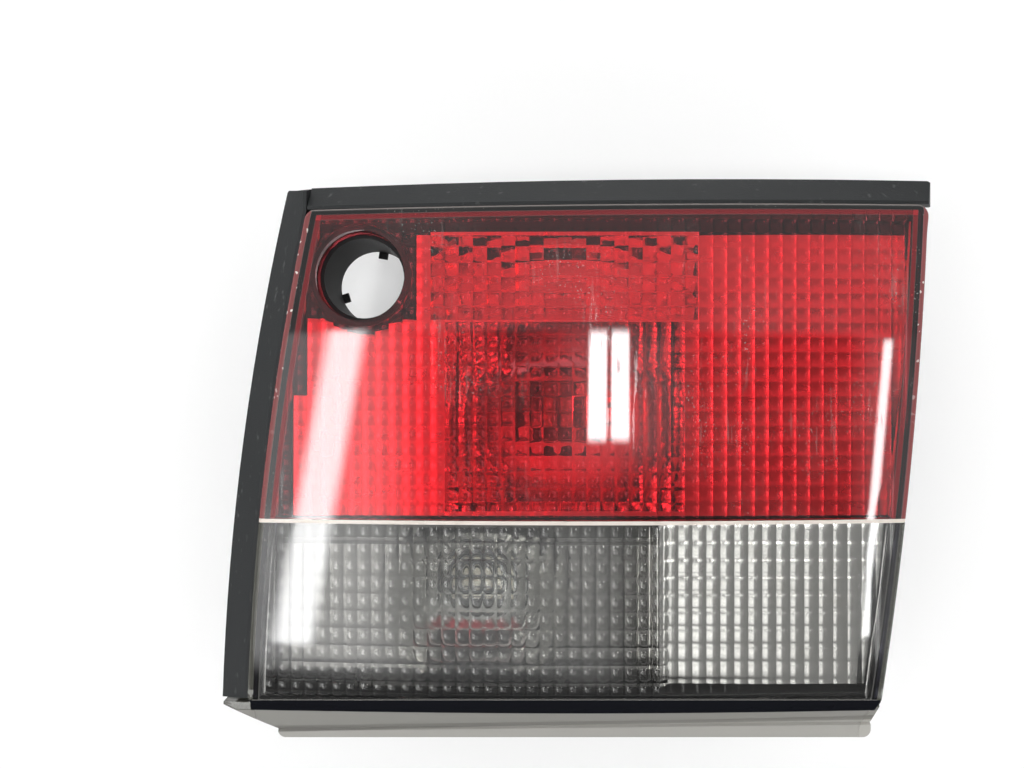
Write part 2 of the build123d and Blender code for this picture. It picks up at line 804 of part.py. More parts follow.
with BuildPart() as reverse_reflector:
    with BuildSketch(front(reverse_vertex_h - bowl_wall)):
        with Locations(reverse_axis):
            Circle(reverse_skin_radius)
        box_between(-reach, reach, reverse_bottom_z, reverse_top_z, mode=Mode.INTERSECT)
    extrude(amount=reverse_ledge_h - reverse_vertex_h + bowl_wall)
    add(reverse_below, mode=Mode.SUBTRACT)
    with BuildSketch(front(reverse_ledge_h - reflector_wall)):
        lens_outline(reflector_inset)
        box_between(
            -reach, reverse_land_x + reflector_wall, reverse_bottom_z, reverse_top_z, mode=Mode.INTERSECT
        )
    extrude(amount=reflector_wall)
    with BuildSketch(front(reverse_ledge_h - reflector_wall)):
        box_between(
            reverse_wall_left_x, reverse_land_x + reflector_wall, reverse_bottom_z, reverse_top_z
        )
    extrude(amount=land_h - reverse_ledge_h + reflector_wall)
    with BuildSketch(front(land_h - reflector_wall)):
        lens_outline(reflector_inset)
        box_between(
            reverse_land_x, reach, lens_bottom_z + reverse_land_margin, reverse_top_z, mode=Mode.INTERSECT
        )
    extrude(amount=reflector_wall)
    add(reverse_well.part, mode=Mode.SUBTRACT)
    with BuildSketch(front(reverse_vertex_h - bowl_wall)):
        with Locations(reverse_axis):
            Circle(socket_bore_radius)
    extrude(amount=face_h, mode=Mode.SUBTRACT)
finish(reverse_reflector, "reverse_reflector")


# Bulbs and holders, the same for both lamps
def bulb_glass(axis, filament_h):
    """Clear glass: a neck with a solid pinch at its foot, and a round envelope."""
    rim_h = filament_h - cap_rim_drop
    foot_h = rim_h - cap_pin_drop
    pinch_h = rim_h + solder_radius
    neck_h = rim_h + solder_height
    hollow = glass_radius - glass_wall
    throat = glass_neck_radius - glass_wall
    with BuildPart() as glass:
        with BuildSketch(turning(axis)):
            with BuildLine():
                Polyline((0, foot_h), (glass_neck_radius, foot_h), (glass_neck_radius, neck_h))
                Spline(
                    (glass_neck_radius, neck_h), (glass_radius, filament_h), tangents=((0, 1), (0, 1))
                )
                RadiusArc((glass_radius, filament_h), (0, filament_h + glass_radius), -glass_radius)
                Line((0, filament_h + glass_radius), (0, foot_h))
            make_face()
            with BuildLine():
                Polyline((0, pinch_h), (throat, pinch_h))
                Spline((throat, pinch_h), (hollow, filament_h), tangents=((0, 1), (0, 1)))
                RadiusArc((hollow, filament_h), (0, filament_h + hollow), -hollow)
                Line((0, filament_h + hollow), (0, pinch_h))
            make_face(mode=Mode.SUBTRACT)
        revolve(axis=axis_line(axis))
    return glass


def bulb_filament(axis, filament_h):
    """Coil on two posts that stand on the glass pinch."""
    pinch_h = filament_h - cap_rim_drop + solder_radius
    with BuildPart() as filament:
        with BuildSketch(front(pinch_h)):
            with Locations(axis):
                with GridLocations(filament_span, 1, 2, 1):
                    Circle(filament_post_radius)
        extrude(amount=filament_h - pinch_h)
        coil_start = axis[0] - filament_span / 2 - filament_radius
        with BuildSketch(Plane.YZ.offset(coil_start)):
            with Locations((-filament_h, axis[1])):
                Circle(filament_radius)
        extrude(amount=filament_span + 2 * filament_radius)
    return filament


def bulb_cap(axis, filament_h):
    """Bayonet cap: a thin cup with two side pins and a solder contact on its end."""
    rim_h = filament_h - cap_rim_drop
    end_h = rim_h - cap_length
    with BuildPart() as cap:
        with BuildSketch(front(end_h)):
            with Locations(axis):
                Circle(cap_radius)
        extrude(amount=cap_length)
        with BuildSketch(front(rim_h - cap_pin_drop - glue_gap)):
            with Locations(axis):
                Circle(glass_neck_radius + glue_gap)
        extrude(amount=cap_length, mode=Mode.SUBTRACT)
        with BuildSketch(front(end_h - solder_height)):
            with Locations(axis):
                Circle(solder_radius)
        extrude(amount=solder_height)
        pin_h = rim_h - cap_pin_drop - 2 * cap_pin_radius
        for side in (-1, 1):
            with BuildSketch(Plane.YZ.offset(axis[0] + side * (cap_radius - cap_wall))):
                with Locations((-pin_h, axis[1])):
                    Circle(cap_pin_radius)
            extrude(amount=side * (cap_wall + cap_pin_reach))
    return cap


def bulb_holder(axis, filament_h):
    """Quarter-turn holder: a cup for the cap, a flange with finger grips and a connector shroud."""
    seat_h = filament_h - socket_drop - seal_thick
    floor_h = filament_h - cap_rim_drop - cap_length - solder_height - fit_gap
    front_h = filament_h - cap_rim_drop - holder_front_drop
    back_h = seat_h - holder_flange_thick
    end_h = back_h - connector_length
    pin_room = cap_radius + cap_pin_reach + fit_gap
    pin_h = filament_h - cap_rim_drop - cap_pin_drop - 3 * cap_pin_radius - fit_gap
    with BuildPart() as holder:
        with BuildSketch(front(back_h)):
            with Locations(axis):
                Circle(holder_flange_radius)
        extrude(amount=holder_flange_thick)
        with BuildSketch(front(back_h)):
            with Locations(axis):
                Circle(socket_bore_radius - fit_gap)
        extrude(amount=front_h - back_h)
        with BuildSketch(front(end_h)):
            with Locations(axis):
                Rectangle(connector_width, connector_depth)
        extrude(amount=connector_length)
        with BuildSketch(front(back_h - grip_length)):
            with Locations(axis):
                with GridLocations(connector_width + grip_width, 1, 2, 1):
                    Rectangle(grip_width, holder_flange_radius)
        extrude(amount=grip_length)
        with BuildSketch(front(end_h)):
            with Locations(axis):
                Rectangle(connector_width - 2 * connector_wall, connector_depth - 2 * connector_wall)
        extrude(amount=connector_length - connector_wall, mode=Mode.SUBTRACT)
        with BuildSketch(front(floor_h)):
            with Locations(axis):
                Circle(cap_radius + fit_gap)
        extrude(amount=cap_length * 2, mode=Mode.SUBTRACT)
        with BuildSketch(front(pin_h)):
            with Locations(axis):
                Rectangle(2 * pin_room, 2 * (cap_pin_radius + fit_gap))
        extrude(amount=cap_length, mode=Mode.SUBTRACT)
        with BuildSketch(front(end_h)):
            with Locations(axis):
                with GridLocations(blade_spacing, 1, 2, 1):
                    Rectangle(blade_thick + 2 * glue_gap, blade_width + 2 * glue_gap)
        extrude(amount=floor_h - end_h, mode=Mode.SUBTRACT)
    return holder


def holder_seal(axis, filament_h):
    """Flat rubber ring between the socket's end and the holder's flange."""
    with BuildPart() as seal:
        with BuildSketch(front(filament_h - socket_drop - seal_thick)):
            with Locations(axis):
                Circle(socket_bore_radius + seal_width)
                Circle(socket_bore_radius, mode=Mode.SUBTRACT)
        extrude(amount=seal_thick)
    return seal


def blade_contacts(axis, filament_h):
    """Two blade terminals that run from the cup's floor into the connector shroud."""
    floor_h = filament_h - cap_rim_drop - cap_length - solder_height - fit_gap
    end_h = filament_h - socket_drop - seal_thick - holder_flange_thick - connector_length
    with BuildPart() as blades:
        with BuildSketch(front(end_h + blade_end_gap)):
            with Locations(axis):
                with GridLocations(blade_spacing, 1, 2, 1):
                    Rectangle(blade_thick, blade_width)
        extrude(amount=floor_h - end_h - blade_end_gap)
    return blades


for lamp, axis, filament_h in (
    ("fog", fog_axis, fog_filament_h),
    ("reverse", reverse_axis, reverse_filament_h),
):
    finish(bulb_glass(axis, filament_h), f"{lamp}_bulb_glass")
    finish(bulb_filament(axis, filament_h), f"{lamp}_bulb_filament")
    finish(bulb_cap(axis, filament_h), f"{lamp}_bulb_cap")
    finish(bulb_holder(axis, filament_h), f"{lamp}_bulb_holder")
    finish(holder_seal(axis, filament_h), f"{lamp}_holder_seal")
    finish(blade_contacts(axis, filament_h), f"{lamp}_contacts")

# Mounting hardware on the back
with BuildPart() as mounting_studs:
    with BuildSketch(front(-stud_length)):
        with Locations(stud_places):
            Circle(stud_radius)
    extrude(amount=stud_length)
    chamfer(mounting_studs.edges().group_by(Axis.Y)[-1], length=stud_chamfer)
    with BuildSketch(front(0)):
        with Locations(stud_places):
            Circle(stud_root_radius)
    extrude(amount=stud_root)
finish(mounting_studs, "mounting_studs")

with BuildPart() as mounting_gasket:
    with BuildSketch(front(back_wall_h - gasket_thick)):
        lens_outline(rim_inset + gasket_inset)
        lens_outline(rim_inset + gasket_inset + gasket_width, mode=Mode.SUBTRACT)
        lock_corner()
        with Locations((lock_x, lock_z)):
            Circle(lock_seal_radius + fit_gap, mode=Mode.SUBTRACT)
        with Locations(stud_places):
            Circle(stud_boss_radius + fit_gap, mode=Mode.SUBTRACT)
        for axis, vertex_h, focal, filament_h in lamps:
            with Locations(axis):
                Circle(pot_radius(vertex_h, focal) + pot_wall + fit_gap, mode=Mode.SUBTRACT)
    extrude(amount=gasket_thick)
finish(mounting_gasket, "mounting_gasket")

with BuildPart() as lock_seal:
    with BuildSketch(front(back_wall_h - gasket_thick)):
        with Locations((lock_x, lock_z)):
            Circle(lock_seal_radius)
            Circle(lock_seal_radius - lock_seal_width, mode=Mode.SUBTRACT)
    extrude(amount=gasket_thick)
finish(lock_seal, "lock_seal")

with BuildPart() as vent_cap:
    spigot_radius = vent_bore_radius + vent_wall
    with BuildSketch(front(back_wall_h - vent_length - vent_cap_wall)):
        with Locations((vent_x, vent_z)):
            Circle(spigot_radius + glue_gap + vent_cap_wall)
    extrude(amount=vent_cap_wall + vent_cap_skirt)
    with BuildSketch(front(back_wall_h - vent_length)):
        with Locations((vent_x, vent_z)):
            Circle(spigot_radius + glue_gap)
    extrude(amount=vent_cap_skirt, mode=Mode.SUBTRACT)
finish(vent_cap, "vent_cap")
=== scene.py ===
import bpy
import numpy as np
from math import pi, radians
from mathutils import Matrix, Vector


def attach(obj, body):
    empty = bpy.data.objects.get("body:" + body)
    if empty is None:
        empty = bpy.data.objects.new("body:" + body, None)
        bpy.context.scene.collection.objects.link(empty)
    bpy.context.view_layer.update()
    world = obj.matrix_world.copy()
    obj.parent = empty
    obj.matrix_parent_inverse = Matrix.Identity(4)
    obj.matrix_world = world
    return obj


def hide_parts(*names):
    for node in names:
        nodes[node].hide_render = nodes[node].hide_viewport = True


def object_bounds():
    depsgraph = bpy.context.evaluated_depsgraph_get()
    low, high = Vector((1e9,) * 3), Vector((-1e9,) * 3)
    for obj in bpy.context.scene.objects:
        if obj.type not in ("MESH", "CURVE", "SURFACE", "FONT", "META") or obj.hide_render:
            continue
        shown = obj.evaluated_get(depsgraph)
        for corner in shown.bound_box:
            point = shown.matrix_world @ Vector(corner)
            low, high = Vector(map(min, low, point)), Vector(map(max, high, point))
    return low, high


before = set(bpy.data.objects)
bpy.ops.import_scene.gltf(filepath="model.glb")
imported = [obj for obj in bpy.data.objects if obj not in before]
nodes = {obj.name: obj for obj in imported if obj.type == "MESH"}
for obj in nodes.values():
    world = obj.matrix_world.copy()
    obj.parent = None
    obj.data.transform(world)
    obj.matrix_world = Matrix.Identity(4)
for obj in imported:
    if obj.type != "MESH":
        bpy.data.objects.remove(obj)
cad_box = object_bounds()


# Housing: the lamp's black body, moulded in one piece from filled plastic, with the rim that
# the lens is glued to, the flange under the trims, the lock tube and the two bulb pots.
class Wire:
    """An output of a node; arithmetic on it adds Math nodes to the same finish."""

    def __init__(self, finish, socket):
        self.finish = finish
        self.socket = socket

    def math(self, operation, other):
        return self.finish.node("ShaderNodeMath", {"operation": operation}, {0: self, 1: other})

    def math_after(self, operation, other):
        return self.finish.node("ShaderNodeMath", {"operation": operation}, {0: other, 1: self})

    def __add__(self, other):
        return self.math("ADD", other)

    def __sub__(self, other):
        return self.math("SUBTRACT", other)

    def __rsub__(self, other):
        return self.math_after("SUBTRACT", other)

    def __mul__(self, other):
        return self.math("MULTIPLY", other)

    def __truediv__(self, other):
        return self.math("DIVIDE", other)

    def __rtruediv__(self, other):
        return self.math_after("DIVIDE", other)

    def __gt__(self, other):
        return self.math("GREATER_THAN", other)

    __radd__ = __add__
    __rmul__ = __mul__


class Finish:
    """A material under construction: one Principled shader and the nodes that feed it."""

    def __init__(self, name, **values):
        self.material = bpy.data.materials.new(name)
        self.material.use_nodes = True
        self.tree = self.material.node_tree
        self.shader = self.tree.nodes["Principled BSDF"]
        self.set(**values)

    def node(self, kind, settings, inputs, output=0):
        """Add a node: its settings first, then values or wires into its sockets."""
        made = self.tree.nodes.new(kind)
        for key, value in settings.items():
            setattr(made, key, value)
        for key, value in inputs.items():
            self.feed(made.inputs[key], value)
        return Wire(self, made.outputs[output])

    def feed(self, socket, value):
        if isinstance(value, Wire):
            self.tree.links.new(value.socket, socket)
        elif socket.type == "RGBA" and len(value) == 3:
            socket.default_value = (*value, 1)
        else:
            socket.default_value = value

    def set(self, **values):
        for key, value in values.items():
            self.feed(self.shader.inputs[key.replace("_", " ")], value)

    def surface(self, shader):
        """Put another shader than the Principled one on the material's surface."""
        self.feed(self.tree.nodes["Material Output"].inputs["Surface"], shader)

    def place(self):
        return self.node("ShaderNodeTexCoord", {}, {}, "Object")

    def axes(self):
        return [self.node("ShaderNodeSeparateXYZ", {}, {0: self.place()}, axis) for axis in range(3)]

    def noise(self, scale, detail=2.0, stretch=(1, 1, 1)):
        """Noise over the piece, scale in waves a metre, drawn out along an axis by stretch."""
        spread = self.node("ShaderNodeMapping", {}, {"Vector": self.place(), "Scale": stretch})
        return self.node("ShaderNodeTexNoise", {}, {"Vector": spread, "Scale": scale, "Detail": detail})

    def ease(self, value, start, end, low=0.0, high=1.0):
        """Carry a value smoothly from low to high as it goes from start to end."""
        return self.node("ShaderNodeMapRange", {"interpolation_type": "SMOOTHSTEP"},
                         {"Value": value, "From Min": start, "From Max": end, "To Min": low, "To Max": high})

    def blend(self, share, first, second):
        """Mix two colours by a share."""
        return self.node("ShaderNodeMix", {"data_type": "RGBA"}, {0: share, 6: first, 7: second}, 2)

    def bump(self, height, strength, distance):
        self.set(Normal=self.node("ShaderNodeBump", {},
                                  {"Height": height, "Strength": strength, "Distance": distance}))

    def on(self, *names):
        """Give the finish to CAD nodes or pieces."""
        for name in names:
            piece = nodes.get(name) or bpy.data.objects[name]
            piece.data.materials.clear()
            piece.data.materials.append(self.material)


moulding = Finish("black_moulding", Specular_IOR_Level=0.25)
cloud = moulding.noise(35, 4)
cloudy = moulding.ease(cloud, 0.35, 0.7)
moulding.set(Base_Color=moulding.blend(cloudy, (0.009, 0.009, 0.010), (0.022, 0.022, 0.023)),
             Roughness=0.45 + 0.3 * cloud)
moulding.bump(moulding.noise(2600, 2), 0.25, 0.0002)
moulding.on("housing")


# Studs: four M6 steel studs with zinc plating, moulded into bosses on the housing's back;
# nuts draw them through the boot lid's panel. Their threads are relief in the plating.
def ridges(along, pitch):
    """Even ridges along an axis, from 0 in the valleys to 1 on the crests."""
    return along.math("PINGPONG", pitch / 2) * (2 / pitch)


plating = Finish("zinc_plating", Metallic=1.0)
stain = plating.noise(220, 5)
along = plating.axes()[1]
free = plating.ease(along, 0.0015, 0.0025)
plating.set(Base_Color=plating.blend(plating.ease(stain, 0.4, 0.75), (0.60, 0.60, 0.57), (0.42, 0.40, 0.34)),
            Roughness=0.26 + 0.25 * stain)
plating.bump(ridges(along, 0.001) * free, 0.9, 0.0003)
plating.on("mounting_studs")

# Gasket: a strip of closed-cell foam stuck round the back wall, which keeps water out
# between the housing and the boot lid.
foam = Finish("gasket_foam", Specular_IOR_Level=0.2)
pores = foam.node("ShaderNodeTexVoronoi", {}, {"Vector": foam.place(), "Scale": 1500.0})
press = foam.noise(60, 3)
foam.set(Base_Color=foam.blend(foam.ease(press, 0.3, 0.7), (0.045, 0.045, 0.047), (0.085, 0.085, 0.085)),
         Roughness=0.78 + 0.2 * press)
foam.bump(pores, 0.5, 0.0004)
foam.on("mounting_gasket")

# Seals: black rubber rings under the bulb holders and round the lock tube's rear end,
# and the rubber breather cap pushed over the housing's vent spigot.
rubber = Finish("black_rubber", Specular_IOR_Level=0.35)
bloom = rubber.noise(160, 4)
bloomed = rubber.ease(bloom, 0.4, 0.75)
rubber.set(Base_Color=rubber.blend(bloomed, (0.022, 0.022, 0.022), (0.065, 0.063, 0.060)),
           Roughness=0.5 + 0.3 * bloom)
rubber.bump(rubber.noise(1400, 3), 0.2, 0.0002)
rubber.on("fog_holder_seal", "reverse_holder_seal", "lock_seal", "vent_cap")

# Bulb holders: grey heat-resistant plastic, turned a quarter to lock them in the sockets;
# each has a connector shroud with two tinned brass blades.
heat_grey = Finish("holder_plastic", Specular_IOR_Level=0.45)
shade = heat_grey.noise(70, 3)
faded = heat_grey.ease(shade, 0.3, 0.7)
heat_grey.set(Base_Color=heat_grey.blend(faded, (0.17, 0.175, 0.18), (0.24, 0.24, 0.235)),
              Roughness=0.4 + 0.25 * shade)
heat_grey.bump(heat_grey.noise(2200, 2), 0.2, 0.0002)
heat_grey.on("fog_bulb_holder", "reverse_bulb_holder")

tinned = Finish("tinned_brass", Metallic=1.0)
wipe = tinned.noise(500, 3, (1, 0.2, 1))
tinned.set(Base_Color=tinned.blend(tinned.ease(wipe, 0.4, 0.7), (0.66, 0.60, 0.45), (0.70, 0.69, 0.66)),
           Roughness=0.25 + 0.25 * wipe)
tinned.on("fog_contacts", "reverse_contacts")

# Bulbs: a clear glass envelope, a coiled tungsten filament on two posts, and a nickel-washed
# brass bayonet cap that the glass is cemented into.
envelope = Finish("bulb_envelope", Base_Color=(0.97, 0.98, 0.98), Transmission_Weight=1.0, IOR=1.5)
envelope.set(Roughness=0.01 + 0.04 * envelope.noise(120, 2))
envelope.on("fog_bulb_glass", "reverse_bulb_glass")

tungsten = Finish("tungsten", Metallic=1.0)
coil = ridges(tungsten.axes()[0], 0.0005)
# The valleys between the coil's turns are painted darker than the crests: painted shade.
tungsten.set(Base_Color=tungsten.blend(coil, (0.10, 0.095, 0.09), (0.38, 0.36, 0.34)),
             Roughness=0.45 - 0.2 * coil)
tungsten.bump(coil, 0.8, 0.0002)
tungsten.on("fog_bulb_filament", "reverse_bulb_filament")

cap_wash = Finish("nickel_wash", Metallic=1.0)
tarnish = cap_wash.noise(260, 4)
tarnished = cap_wash.ease(tarnish, 0.35, 0.75)
cap_wash.set(Base_Color=cap_wash.blend(tarnished, (0.72, 0.68, 0.58), (0.52, 0.42, 0.26)),
             Roughness=0.22 + 0.3 * tarnish)
cap_wash.on("fog_bulb_cap", "reverse_bulb_cap")

# Reflectors: moulded inserts with a vacuum-deposited aluminium skin, satin on the flat lands
# and bright in the bowls. The lower one's raised land has small convex facets, cut here into a
# copy of the CAD solid; left of them its bowl is darker, its ledge darker still as painted shade,
# a painted shadow lies along their top under the partition, and dust has settled.
cells = 8


def closed_block(name, width_cells, height_cells, shape, depth_y):
    """A sheet shaped by a function of its unit coordinates, extruded to a flat plane at depth_y."""
    bpy.ops.object.select_all(action="DESELECT")
    bpy.ops.mesh.primitive_grid_add(x_subdivisions=width_cells, y_subdivisions=height_cells, size=2)
    block = bpy.context.object
    block.name = name
    mesh = block.data
    flat = np.empty(len(mesh.vertices) * 3)
    mesh.vertices.foreach_get("co", flat)
    flat = flat.reshape(-1, 3)
    mesh.vertices.foreach_set("co", np.column_stack(shape(flat[:, 0], flat[:, 1])).ravel())
    bpy.ops.object.mode_set(mode="EDIT")
    bpy.ops.mesh.select_all(action="SELECT")
    bpy.ops.mesh.extrude_region_move(TRANSFORM_OT_translate={"value": (0, 0.1, 0)})
    bpy.ops.transform.resize(value=(1, 0, 1), center_override=(0, depth_y, 0))
    bpy.ops.mesh.select_all(action="SELECT")
    bpy.ops.mesh.normals_make_consistent(inside=False)
    bpy.ops.object.mode_set(mode="OBJECT")
    return block


def carve(piece, tool, operation):
    """Cut a piece with a tool and take the tool away."""
    bpy.ops.object.select_all(action="DESELECT")
    bpy.context.view_layer.objects.active = piece
    cut = piece.modifiers.new("cut", "BOOLEAN")
    cut.operation, cut.solver, cut.object = operation, "MANIFOLD", tool
    bpy.ops.object.modifier_apply(modifier="cut")
    bpy.data.objects.remove(tool)


def moulded_copy(name, node):
    """Copy a CAD solid as a piece of its own and merge the vertices along its faces' edges."""
    bpy.ops.object.select_all(action="DESELECT")
    piece = nodes[node].copy()
    piece.data = nodes[node].data.copy()
    piece.name = name
    bpy.context.collection.objects.link(piece)
    piece.parent = None
    bpy.context.view_layer.objects.active = piece
    piece.select_set(True)
    bpy.ops.mesh.customdata_custom_splitnormals_clear()
    bpy.ops.object.mode_set(mode="EDIT")
    bpy.ops.mesh.select_all(action="SELECT")
    bpy.ops.mesh.remove_doubles(threshold=0.000002)
    bpy.ops.object.mode_set(mode="OBJECT")
    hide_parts(node)
    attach(piece, "root")
    return piece


def smooth(piece, angle):
    """Shade a piece smooth up to an angle, with its large faces kept flat."""
    bpy.ops.object.select_all(action="DESELECT")
    bpy.context.view_layer.objects.active = piece
    piece.select_set(True)
    bpy.ops.object.shade_smooth_by_angle(angle=radians(angle))
    level = piece.modifiers.new("level", "WEIGHTED_NORMAL")
    level.keep_sharp = True
    bpy.ops.object.modifier_apply(modifier="level")


def pillow(cell, rise, power):
    """Swell across a row of cells: round in the middle of each, steeper towards its edges."""
    offset = 2 * (cell % 1) - 1
    return rise * (1 - 0.5 * offset**2 - 0.5 * offset**power)


land_y = min(corner[1] for corner in nodes["reverse_reflector"].bound_box)
facet_columns, facet_rows = 20, 11
facet_left, facet_width, facet_bulge = 0.02393, 0.005212, 0.00019
facet_low, facet_height, facet_arch = -0.09639, 0.006525, 0.00013
facet_skim = 0.00002


def facets(across, up):
    """Sheet of small convex facets that skims the raised land right of the lower bowl."""
    column, row = (across + 1) / 2 * facet_columns, (up + 1) / 2 * facet_rows
    crest = pillow(column, facet_bulge, 2) + pillow(row, facet_arch, 6)
    sunk = facet_skim + facet_bulge + facet_arch - crest
    return facet_left + column * facet_width, land_y + sunk, facet_low + row * facet_height


lower_reflector = moulded_copy("lower_reflector", "reverse_reflector")
facet_block = closed_block("facets", facet_columns * cells, facet_rows * cells, facets, land_y - 0.01)
carve(lower_reflector, facet_block, "DIFFERENCE")
smooth(lower_reflector, 12)

aluminium = Finish("vacuum_aluminium", Metallic=1.0)
across, inwards, up = aluminium.axes()
dust = aluminium.noise(90, 5)
dusty = aluminium.ease(dust, 0.5, 0.9)
land = aluminium.ease(inwards, -0.0339, -0.0341)
upper = aluminium.ease(up, -0.0242, -0.0236)
flat = (1 - upper) * aluminium.ease(inwards, -0.0229, -0.0231)
# Left of the facets the lower reflector is darker: its bowl darker, its flat parts nearer the lens darker
# still as painted shade, and the strip along its top, under the partition, near black as a painted shadow.
darker_left = (1 - upper) * aluminium.ease(across, 0.0262, 0.0272, 1.0, 0.0)
edge = darker_left * aluminium.ease(up, -0.0340, -0.0334)
upper_skin = aluminium.blend(dusty, (0.88, 0.88, 0.87), (0.66, 0.64, 0.60))
land_skin = aluminium.blend(0.5, upper_skin, (0.66, 0.655, 0.64))
dark_and_shaded_skin = aluminium.blend(flat, (0.37, 0.365, 0.35), (0.115, 0.113, 0.108))
dark_and_shaded_skin = aluminium.blend(edge, dark_and_shaded_skin, (0.055, 0.055, 0.052))
skin = aluminium.blend(upper, land_skin, upper_skin)
aluminium.set(Base_Color=aluminium.blend(darker_left, skin, dark_and_shaded_skin),
              Roughness=0.04 + 0.2 * land * upper + 0.11 * flat + 0.15 * edge + 0.08 * dust)
aluminium.bump(aluminium.noise(420, 2), 0.03, 0.0004)
aluminium.on("fog_reflector", "lower_reflector")

# Sealant: the black bead on the rim's front edge that glues the lens on. It shows through the
# lens as the dark border all round.
bead = Finish("black_sealant", Specular_IOR_Level=0.5)
squeeze = bead.noise(300, 3)
bead.set(Base_Color=bead.blend(bead.ease(squeeze, 0.4, 0.8), (0.006, 0.006, 0.007), (0.02, 0.019, 0.019)),
         Roughness=0.3 + 0.3 * squeeze)
bead.bump(squeeze, 0.3, 0.0004)
bead.on("lens_sealant")

# Lens: red and clear acrylic moulded together, smooth and crowned outside. The inside carries
# columns and rows of small pillow lenses, which are cut here into copies of the CAD solids,
# and the tip of the skirt's left end is trimmed off.
face_height, crown_radius = 0.045, 1.2
column_pitch, lens_columns = 0.00512, 50
middle_z, half_z = -0.0005, 0.0915
left_edge = -0.1035, -0.126, 0.0042
right_edge = 0.126, 0.1075, -0.0028
collar_x, collar_z, collar_radius = -0.08344, 0.0666, 0.0189


def side_edge(z, top, bottom, bow):
    """X of the lens's side edge at z, a line between its ends bowed to one side."""
    share = (z - middle_z) / half_z
    return (top + bottom) / 2 + (top - bottom) / 2 * share - bow * (1 - share * share)


def optics(low_z, high_z, column_start, row_start, row_pitch, floor, column_rise, row_rise, row_power,
           quiet_x):
    """Block whose front is the pillow sheet, inside the lens walls and clear of the lock hole's collar.
    Right of quiet_x the pillows are shallow."""
    rows = int((high_z - low_z) / row_pitch) + 2
    first_x = column_start - int((column_start + 0.128) / column_pitch) * column_pitch
    first_z = row_start - int((row_start - low_z) / row_pitch + 1) * row_pitch

    def sheet(across, up):
        column = (across + 1) / 2 * lens_columns
        row = (up + 1) / 2 * rows
        x, z = first_x + column * column_pitch, first_z + row * row_pitch
        swell = np.where(x > quiet_x, 0.25, 1.0)
        depth = floor + pillow(column, column_rise * swell, 4) + pillow(row, row_rise * swell, row_power)
        return x, crown_radius - face_height - np.sqrt((crown_radius - depth) ** 2 - x**2), z

    def field(across, up):
        z = (low_z + high_z) / 2 + up * (high_z - low_z) / 2
        left = side_edge(z, *left_edge) + 0.0062
        right = side_edge(z, *right_edge) - 0.0066
        return (left + right) / 2 + across * (right - left) / 2, np.full_like(z, -0.06), z

    block = closed_block("pillows", lens_columns * cells, rows * cells, sheet, -0.0332)
    carve(block, closed_block("field", 2, 24, field, -0.02), "INTERSECT")
    bpy.ops.object.select_all(action="DESELECT")
    bpy.ops.mesh.primitive_cylinder_add(vertices=96, radius=collar_radius, depth=0.06,
                                        location=(collar_x, -0.04, collar_z), rotation=(pi / 2, 0, 0))
    carve(block, bpy.context.object, "DIFFERENCE")
    return block


red_lens = moulded_copy("red_lens", "lens_red")
red_pillows = optics(low_z=-0.0232, high_z=0.0870, column_start=-0.0524, row_start=0.08225,
                     row_pitch=0.00544, floor=0.0016, column_rise=0.00042, row_rise=0.00030, row_power=4,
                     quiet_x=1.0)
carve(red_lens, red_pillows, "DIFFERENCE")
smooth(red_lens, 32)

clear_lens = moulded_copy("clear_lens", "lens_clear")
clear_pillows = optics(low_z=-0.0875, high_z=-0.0232, column_start=0.02813, row_start=-0.0237,
                       row_pitch=0.00641, floor=0.0026, column_rise=-0.00050, row_rise=-0.00036, row_power=10,
                       quiet_x=0.0282)
carve(clear_lens, clear_pillows, "DIFFERENCE")
tip_x, tip_length, saw_size = min(corner[0] for corner in clear_lens.bound_box), 0.0018, 0.06
bpy.ops.object.select_all(action="DESELECT")
bpy.ops.mesh.primitive_cube_add(size=saw_size, location=(tip_x + tip_length - saw_size / 2, -0.01, -0.085))
carve(clear_lens, bpy.context.object, "DIFFERENCE")
smooth(clear_lens, 25)


